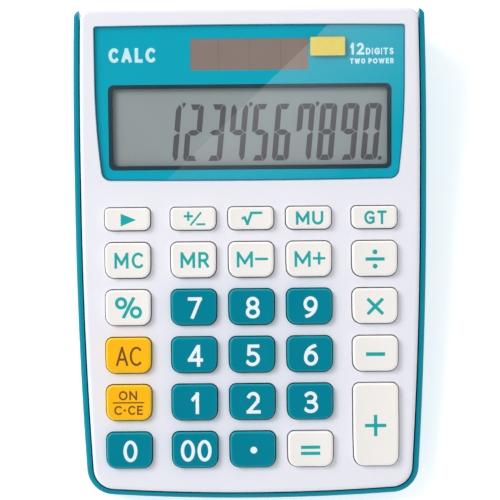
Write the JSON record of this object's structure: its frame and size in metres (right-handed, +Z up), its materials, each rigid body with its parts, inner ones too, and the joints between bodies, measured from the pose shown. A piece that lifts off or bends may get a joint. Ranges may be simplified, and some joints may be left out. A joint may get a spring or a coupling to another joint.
{
  "type": "desk calculator",
  "caption": "Compact desk calculator with a white cover, teal rear case and keys, a tilted liquid crystal display behind a teal window, a solar cell and a sliding battery door.",
  "frame": {"origin": "on the table, under the middle of the case's bounding box", "axes": "+X to the user's right, +Y to the rear (display end), +Z up"},
  "size_m": [0.1046, 0.1434, 0.0301],
  "materials": {
    "cover_white": "semi-gloss moulded ABS",
    "housing_teal": "semi-gloss moulded ABS",
    "key_white": "satin moulded ABS",
    "key_teal": "satin moulded ABS",
    "key_yellow": "satin moulded ABS",
    "clear_window": "clear polished acrylic",
    "printed_film": "screen-printed film",
    "gold_foil": "metallised foil",
    "bezel_dark": "matt plastic",
    "foam_black": "foam tape",
    "lcd_film": "anti-glare film",
    "lcd_glass": "float glass",
    "reflector_film": "silvered film",
    "ribbon": "printed film",
    "solar_glass": "amorphous silicon on glass",
    "board": "solder-masked laminate",
    "epoxy_black": "cast epoxy",
    "capacitor_can": "sleeved can",
    "silicone": "moulded silicone",
    "carbon_rubber": "conductive rubber",
    "screw_steel": "zinc plated",
    "foot_rubber": "matt rubber",
    "cell_can": "nickel plated",
    "contact_nickel": "nickel plated spring",
    "wire_red": "PVC insulation",
    "wire_black": "PVC insulation"
  },
  "bodies": {
    "housing": {"front_cover": "cover_white", "rear_housing": "housing_teal", "window_lens": "clear_window", "window_film": "printed_film", "foil_sticker": "gold_foil", "lcd_bezel": "bezel_dark", "lcd_gasket": "foam_black", "lcd_polariser": "lcd_film", "lcd_front_glass": "lcd_glass", "lcd_rear_glass": "lcd_glass", "lcd_reflector": "reflector_film", "heat_seal_ribbon": "ribbon", "solar_cell": "solar_glass", "main_board": "board", "chip_cover": "epoxy_black", "filter_capacitor": "capacitor_can", "keypad_mat": "silicone", "carbon_pills": "carbon_rubber", "case_screws": "screw_steel", "board_screws": "screw_steel", "rubber_feet": "foot_rubber", "button_cell": "cell_can", "battery_positive_contact": "contact_nickel", "battery_negative_contact": "contact_nickel", "solar_wire_red": "wire_red", "solar_wire_black": "wire_black", "battery_wire_red": "wire_red", "battery_wire_black": "wire_black"},
    "key_backspace_body": {"key_backspace": "key_white"},
    "key_sign_change_body": {"key_sign_change": "key_white"},
    "key_square_root_body": {"key_square_root": "key_white"},
    "key_markup_body": {"key_markup": "key_white"},
    "key_grand_total_body": {"key_grand_total": "key_white"},
    "key_memory_clear_body": {"key_memory_clear": "key_white"},
    "key_memory_recall_body": {"key_memory_recall": "key_white"},
    "key_memory_minus_body": {"key_memory_minus": "key_white"},
    "key_memory_plus_body": {"key_memory_plus": "key_white"},
    "key_divide_body": {"key_divide": "key_white"},
    "key_percent_body": {"key_percent": "key_white"},
    "key_7_body": {"key_7": "key_teal"},
    "key_8_body": {"key_8": "key_teal"},
    "key_9_body": {"key_9": "key_teal"},
    "key_multiply_body": {"key_multiply": "key_white"},
    "key_all_clear_body": {"key_all_clear": "key_yellow"},
    "key_4_body": {"key_4": "key_teal"},
    "key_5_body": {"key_5": "key_teal"},
    "key_6_body": {"key_6": "key_teal"},
    "key_minus_body": {"key_minus": "key_white"},
    "key_on_clear_body": {"key_on_clear": "key_yellow"},
    "key_1_body": {"key_1": "key_teal"},
    "key_2_body": {"key_2": "key_teal"},
    "key_3_body": {"key_3": "key_teal"},
    "key_0_body": {"key_0": "key_teal"},
    "key_00_body": {"key_00": "key_teal"},
    "key_point_body": {"key_point": "key_teal"},
    "key_equals_body": {"key_equals": "key_white"},
    "key_plus_body": {"key_plus": "key_white"},
    "battery_door_body": {"battery_door": "housing_teal"}
  },
  "joints": [
    {"name": "key_backspace_press", "type": "slide", "parent": "housing", "child": "key_backspace_body", "axis": [0, 0.0958, -0.9954], "range_m": [0, 0.0012], "stiffness_N_per_m": 300, "springref_m": -0.0002, "deforming": ["keypad_mat"]},
    {"name": "key_sign_change_press", "type": "slide", "parent": "housing", "child": "key_sign_change_body", "axis": [0, 0.0958, -0.9954], "range_m": [0, 0.0012], "stiffness_N_per_m": 300, "springref_m": -0.0002, "deforming": ["keypad_mat"]},
    {"name": "key_square_root_press", "type": "slide", "parent": "housing", "child": "key_square_root_body", "axis": [0, 0.0958, -0.9954], "range_m": [0, 0.0012], "stiffness_N_per_m": 300, "springref_m": -0.0002, "deforming": ["keypad_mat"]},
    {"name": "key_markup_press", "type": "slide", "parent": "housing", "child": "key_markup_body", "axis": [0, 0.0958, -0.9954], "range_m": [0, 0.0012], "stiffness_N_per_m": 300, "springref_m": -0.0002, "deforming": ["keypad_mat"]},
    {"name": "key_grand_total_press", "type": "slide", "parent": "housing", "child": "key_grand_total_body", "axis": [0, 0.0958, -0.9954], "range_m": [0, 0.0012], "stiffness_N_per_m": 300, "springref_m": -0.0002, "deforming": ["keypad_mat"]},
    {"name": "key_memory_clear_press", "type": "slide", "parent": "housing", "child": "key_memory_clear_body", "axis": [0, 0.0958, -0.9954], "range_m": [0, 0.0012], "stiffness_N_per_m": 300, "springref_m": -0.0002, "deforming": ["keypad_mat"]},
    {"name": "key_memory_recall_press", "type": "slide", "parent": "housing", "child": "key_memory_recall_body", "axis": [0, 0.0958, -0.9954], "range_m": [0, 0.0012], "stiffness_N_per_m": 300, "springref_m": -0.0002, "deforming": ["keypad_mat"]},
    {"name": "key_memory_minus_press", "type": "slide", "parent": "housing", "child": "key_memory_minus_body", "axis": [0, 0.0958, -0.9954], "range_m": [0, 0.0012], "stiffness_N_per_m": 300, "springref_m": -0.0002, "deforming": ["keypad_mat"]},
    {"name": "key_memory_plus_press", "type": "slide", "parent": "housing", "child": "key_memory_plus_body", "axis": [0, 0.0958, -0.9954], "range_m": [0, 0.0012], "stiffness_N_per_m": 300, "springref_m": -0.0002, "deforming": ["keypad_mat"]},
    {"name": "key_divide_press", "type": "slide", "parent": "housing", "child": "key_divide_body", "axis": [0, 0.0958, -0.9954], "range_m": [0, 0.0012], "stiffness_N_per_m": 300, "springref_m": -0.0002, "deforming": ["keypad_mat"]},
    {"name": "key_percent_press", "type": "slide", "parent": "housing", "child": "key_percent_body", "axis": [0, 0.0958, -0.9954], "range_m": [0, 0.0012], "stiffness_N_per_m": 300, "springref_m": -0.0002, "deforming": ["keypad_mat"]},
    {"name": "key_7_press", "type": "slide", "parent": "housing", "child": "key_7_body", "axis": [0, 0.0958, -0.9954], "range_m": [0, 0.0012], "stiffness_N_per_m": 300, "springref_m": -0.0002, "deforming": ["keypad_mat"]},
    {"name": "key_8_press", "type": "slide", "parent": "housing", "child": "key_8_body", "axis": [0, 0.0958, -0.9954], "range_m": [0, 0.0012], "stiffness_N_per_m": 300, "springref_m": -0.0002, "deforming": ["keypad_mat"]},
    {"name": "key_9_press", "type": "slide", "parent": "housing", "child": "key_9_body", "axis": [0, 0.0958, -0.9954], "range_m": [0, 0.0012], "stiffness_N_per_m": 300, "springref_m": -0.0002, "deforming": ["keypad_mat"]},
    {"name": "key_multiply_press", "type": "slide", "parent": "housing", "child": "key_multiply_body", "axis": [0, 0.0958, -0.9954], "range_m": [0, 0.0012], "stiffness_N_per_m": 300, "springref_m": -0.0002, "deforming": ["keypad_mat"]},
    {"name": "key_all_clear_press", "type": "slide", "parent": "housing", "child": "key_all_clear_body", "axis": [0, 0.0958, -0.9954], "range_m": [0, 0.0012], "stiffness_N_per_m": 300, "springref_m": -0.0002, "deforming": ["keypad_mat"]},
    {"name": "key_4_press", "type": "slide", "parent": "housing", "child": "key_4_body", "axis": [0, 0.0958, -0.9954], "range_m": [0, 0.0012], "stiffness_N_per_m": 300, "springref_m": -0.0002, "deforming": ["keypad_mat"]},
    {"name": "key_5_press", "type": "slide", "parent": "housing", "child": "key_5_body", "axis": [0, 0.0958, -0.9954], "range_m": [0, 0.0012], "stiffness_N_per_m": 300, "springref_m": -0.0002, "deforming": ["keypad_mat"]},
    {"name": "key_6_press", "type": "slide", "parent": "housing", "child": "key_6_body", "axis": [0, 0.0958, -0.9954], "range_m": [0, 0.0012], "stiffness_N_per_m": 300, "springref_m": -0.0002, "deforming": ["keypad_mat"]},
    {"name": "key_minus_press", "type": "slide", "parent": "housing", "child": "key_minus_body", "axis": [0, 0.0958, -0.9954], "range_m": [0, 0.0012], "stiffness_N_per_m": 300, "springref_m": -0.0002, "deforming": ["keypad_mat"]},
    {"name": "key_on_clear_press", "type": "slide", "parent": "housing", "child": "key_on_clear_body", "axis": [0, 0.0958, -0.9954], "range_m": [0, 0.0012], "stiffness_N_per_m": 300, "springref_m": -0.0002, "deforming": ["keypad_mat"]},
    {"name": "key_1_press", "type": "slide", "parent": "housing", "child": "key_1_body", "axis": [0, 0.0958, -0.9954], "range_m": [0, 0.0012], "stiffness_N_per_m": 300, "springref_m": -0.0002, "deforming": ["keypad_mat"]},
    {"name": "key_2_press", "type": "slide", "parent": "housing", "child": "key_2_body", "axis": [0, 0.0958, -0.9954], "range_m": [0, 0.0012], "stiffness_N_per_m": 300, "springref_m": -0.0002, "deforming": ["keypad_mat"]},
    {"name": "key_3_press", "type": "slide", "parent": "housing", "child": "key_3_body", "axis": [0, 0.0958, -0.9954], "range_m": [0, 0.0012], "stiffness_N_per_m": 300, "springref_m": -0.0002, "deforming": ["keypad_mat"]},
    {"name": "key_0_press", "type": "slide", "parent": "housing", "child": "key_0_body", "axis": [0, 0.0958, -0.9954], "range_m": [0, 0.0012], "stiffness_N_per_m": 300, "springref_m": -0.0002, "deforming": ["keypad_mat"]},
    {"name": "key_00_press", "type": "slide", "parent": "housing", "child": "key_00_body", "axis": [0, 0.0958, -0.9954], "range_m": [0, 0.0012], "stiffness_N_per_m": 300, "springref_m": -0.0002, "deforming": ["keypad_mat"]},
    {"name": "key_point_press", "type": "slide", "parent": "housing", "child": "key_point_body", "axis": [0, 0.0958, -0.9954], "range_m": [0, 0.0012], "stiffness_N_per_m": 300, "springref_m": -0.0002, "deforming": ["keypad_mat"]},
    {"name": "key_equals_press", "type": "slide", "parent": "housing", "child": "key_equals_body", "axis": [0, 0.0958, -0.9954], "range_m": [0, 0.0012], "stiffness_N_per_m": 300, "springref_m": -0.0002, "deforming": ["keypad_mat"]},
    {"name": "key_plus_press", "type": "slide", "parent": "housing", "child": "key_plus_body", "axis": [0, 0.0958, -0.9954], "range_m": [0, 0.0012], "stiffness_N_per_m": 300, "springref_m": -0.0002, "deforming": ["keypad_mat"]},
    {"name": "battery_door_slide", "type": "slide", "parent": "housing", "child": "battery_door_body", "axis": [0, 1, 0], "range_m": [0, 0.026]}
  ]
}
